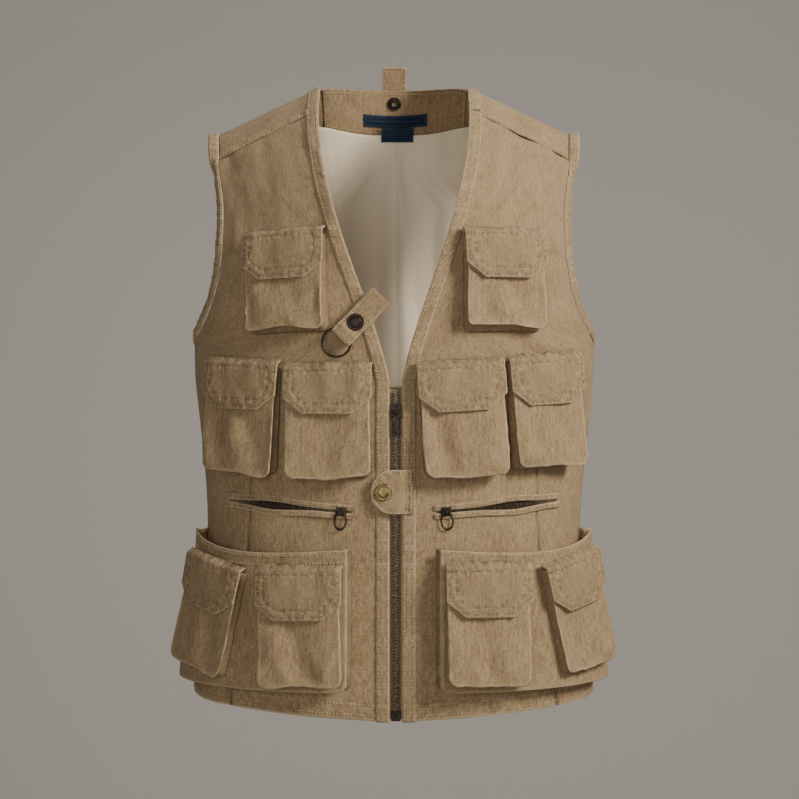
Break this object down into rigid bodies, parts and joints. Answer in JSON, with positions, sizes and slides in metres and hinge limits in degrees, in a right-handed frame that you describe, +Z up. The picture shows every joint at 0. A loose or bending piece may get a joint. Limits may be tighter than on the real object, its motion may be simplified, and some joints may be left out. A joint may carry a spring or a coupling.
{
  "type": "fishing vest",
  "caption": "Sleeveless waist-length fishing vest with zipped front, flapped bellows pockets, patch pockets, slanted zip pockets, a ring strap, a waist tab and a satin lining.",
  "frame": {"origin": "middle of the top of the hollow in the hanging loop at the back of the neck", "axes": "+Z up, +X towards the wearer's left, -Y out of the chest"},
  "size_m": [0.4091, 0.2534, 0.6152],
  "materials": {
    "canvas": "slubbed plain weave, matt",
    "satin": "smooth satin lining",
    "tape": "woven tape",
    "label": "damask woven",
    "zip_teeth": "blackened",
    "dark_metal": "burnished black",
    "brass_metal": "antiqued"
  },
  "bodies": {
    "garment": {"right_front_panel": "canvas", "right_front_band": "canvas", "right_armhole_binding": "canvas", "right_zip_tape": "tape", "right_patch_pocket": "canvas", "right_zip_pocket_bag": "satin", "right_zip_pocket_chain": "zip_teeth", "left_front_panel": "canvas", "left_front_band": "canvas", "left_armhole_binding": "canvas", "left_zip_tape": "tape", "left_patch_pocket": "canvas", "left_zip_pocket_bag": "satin", "left_zip_pocket_chain": "zip_teeth", "back_panel": "canvas", "yoke": "canvas", "back_neck_facing": "canvas", "lining": "satin", "zip_chain": "zip_teeth", "zip_retainer": "dark_metal", "right_chest_pocket": "canvas", "left_chest_pocket": "canvas", "right_mid_outer_pocket": "canvas", "right_mid_inner_pocket": "canvas", "left_mid_inner_pocket": "canvas", "left_mid_outer_pocket": "canvas", "right_hip_outer_pocket": "canvas", "right_hip_inner_pocket": "canvas", "left_hip_inner_pocket": "canvas", "left_hip_outer_pocket": "canvas", "waist_tab_snap_stud": "dark_metal", "ring_strap_base": "canvas", "ring_strap_snap_stud": "dark_metal", "hanging_loop_inner": "canvas", "hanging_loop_snap_post": "dark_metal", "size_label": "label", "care_label": "label"},
    "zip_slider": {"zip_slider": "dark_metal"},
    "zip_pull": {"zip_pull": "dark_metal"},
    "right_zip_pocket_slider": {"right_zip_pocket_slider": "dark_metal"},
    "right_zip_pocket_pull": {"right_zip_pocket_pull": "dark_metal"},
    "left_zip_pocket_slider": {"left_zip_pocket_slider": "dark_metal"},
    "left_zip_pocket_pull": {"left_zip_pocket_pull": "dark_metal"},
    "right_chest_flap": {"right_chest_flap": "canvas"},
    "left_chest_flap": {"left_chest_flap": "canvas"},
    "right_mid_outer_flap": {"right_mid_outer_flap": "canvas"},
    "left_mid_outer_flap": {"left_mid_outer_flap": "canvas"},
    "right_mid_inner_flap": {"right_mid_inner_flap": "canvas"},
    "left_mid_inner_flap": {"left_mid_inner_flap": "canvas"},
    "right_hip_inner_flap": {"right_hip_inner_flap": "canvas"},
    "left_hip_inner_flap": {"left_hip_inner_flap": "canvas"},
    "right_hip_outer_flap": {"right_hip_outer_flap": "canvas"},
    "left_hip_outer_flap": {"left_hip_outer_flap": "canvas"},
    "waist_tab": {"waist_tab": "canvas", "waist_tab_snap_cap": "brass_metal"},
    "ring_strap": {"ring_strap": "canvas", "ring_strap_snap_cap": "dark_metal"},
    "ring_strap_ring": {"ring_strap_ring": "dark_metal"},
    "hanging_loop": {"hanging_loop_outer": "canvas", "hanging_loop_snap_cap": "dark_metal"}
  },
  "joints": [
    {"name": "zip_slider_run", "type": "slide", "parent": "garment", "child": "zip_slider", "axis": [0, 0, 1], "range_m": [-0.254, 0.01]},
    {"name": "zip_pull_hinge", "type": "hinge", "parent": "zip_slider", "child": "zip_pull", "pos_m": [0.002, -0.19324, -0.33946], "axis": [-1, 0, 0], "range_deg": [0, 150]},
    {"name": "right_zip_pocket_slider_hinge", "type": "hinge", "parent": "garment", "child": "right_zip_pocket_slider", "pos_m": [-0.03135, -0.00504, -0.42903], "axis": [-0.0746, 0, -0.9972], "range_deg": [0, 33]},
    {"name": "right_zip_pocket_pull_hinge", "type": "hinge", "parent": "right_zip_pocket_slider", "child": "right_zip_pocket_pull", "pos_m": [-0.04625, -0.19052, -0.42792], "axis": [-0.994, 0.0803, 0.0743], "range_deg": [0, 120]},
    {"name": "left_zip_pocket_slider_hinge", "type": "hinge", "parent": "garment", "child": "left_zip_pocket_slider", "pos_m": [0.03135, -0.00504, -0.42903], "axis": [-0.0746, 0, 0.9972], "range_deg": [0, 33]},
    {"name": "left_zip_pocket_pull_hinge", "type": "hinge", "parent": "left_zip_pocket_slider", "child": "left_zip_pocket_pull", "pos_m": [0.04625, -0.19052, -0.42792], "axis": [-0.994, -0.0803, -0.0743], "range_deg": [0, 120]},
    {"name": "right_chest_flap_hinge", "type": "hinge", "parent": "garment", "child": "right_chest_flap", "pos_m": [-0.09631, -0.17827, -0.17896], "axis": [-0.9347, 0.3521, -0.0488], "range_deg": [0, 120]},
    {"name": "left_chest_flap_hinge", "type": "hinge", "parent": "garment", "child": "left_chest_flap", "pos_m": [0.09632, -0.17802, -0.17795], "axis": [-0.9311, -0.3646, 0], "range_deg": [0, 120]},
    {"name": "right_mid_outer_flap_hinge", "type": "hinge", "parent": "garment", "child": "right_mid_outer_flap", "pos_m": [-0.1341, -0.16729, -0.29249], "axis": [-0.8777, 0.4766, 0.05], "range_deg": [0, 120]},
    {"name": "left_mid_outer_flap_hinge", "type": "hinge", "parent": "garment", "child": "left_mid_outer_flap", "pos_m": [0.1341, -0.16734, -0.28848], "axis": [-0.8776, -0.4756, -0.06], "range_deg": [0, 120]},
    {"name": "right_mid_inner_flap_hinge", "type": "hinge", "parent": "garment", "child": "right_mid_inner_flap", "pos_m": [-0.05731, -0.19063, -0.29696], "axis": [-0.991, 0.1341, 0], "range_deg": [0, 75]},
    {"name": "left_mid_inner_flap_hinge", "type": "hinge", "parent": "garment", "child": "left_mid_inner_flap", "pos_m": [0.05781, -0.19057, -0.29446], "axis": [-0.989, -0.1352, -0.06], "range_deg": [0, 120]},
    {"name": "right_hip_inner_flap_hinge", "type": "hinge", "parent": "garment", "child": "right_hip_inner_flap", "pos_m": [-0.08256, -0.19594, -0.47445], "axis": [-0.97, 0.2413, -0.03], "range_deg": [0, 120]},
    {"name": "left_hip_inner_flap_hinge", "type": "hinge", "parent": "garment", "child": "left_hip_inner_flap", "pos_m": [0.08256, -0.19582, -0.47145], "axis": [-0.97, -0.2422, 0.02], "range_deg": [0, 120]},
    {"name": "right_hip_outer_flap_hinge", "type": "hinge", "parent": "garment", "child": "right_hip_outer_flap", "pos_m": [-0.15859, -0.15673, -0.47138], "axis": [-0.705, 0.6862, 0.1789], "range_deg": [0, 120]},
    {"name": "left_hip_outer_flap_hinge", "type": "hinge", "parent": "garment", "child": "left_hip_outer_flap", "pos_m": [0.1586, -0.15645, -0.46839], "axis": [-0.7034, -0.6879, -0.1789], "range_deg": [0, 120]},
    {"name": "waist_tab_hinge", "type": "hinge", "parent": "garment", "child": "waist_tab", "pos_m": [0.017, -0.19354, -0.41046], "axis": [0, 0, 1], "range_deg": [0, 95]},
    {"name": "ring_strap_hinge", "type": "hinge", "parent": "garment", "child": "ring_strap", "pos_m": [-0.01126, -0.19711, -0.23972], "axis": [-0.7159, 0.0452, 0.6967], "range_deg": [0, 90]},
    {"name": "ring_strap_ring_hinge", "type": "hinge", "parent": "ring_strap", "child": "ring_strap_ring", "pos_m": [-0.04319, -0.19639, -0.27258], "axis": [-0.7159, 0.0452, 0.6967], "range_deg": [0, 24]},
    {"name": "hanging_loop_hinge", "type": "hinge", "parent": "garment", "child": "hanging_loop", "pos_m": [0, -0.00419, -0.00034], "axis": [1, 0, 0], "range_deg": [0, 150]}
  ]
}
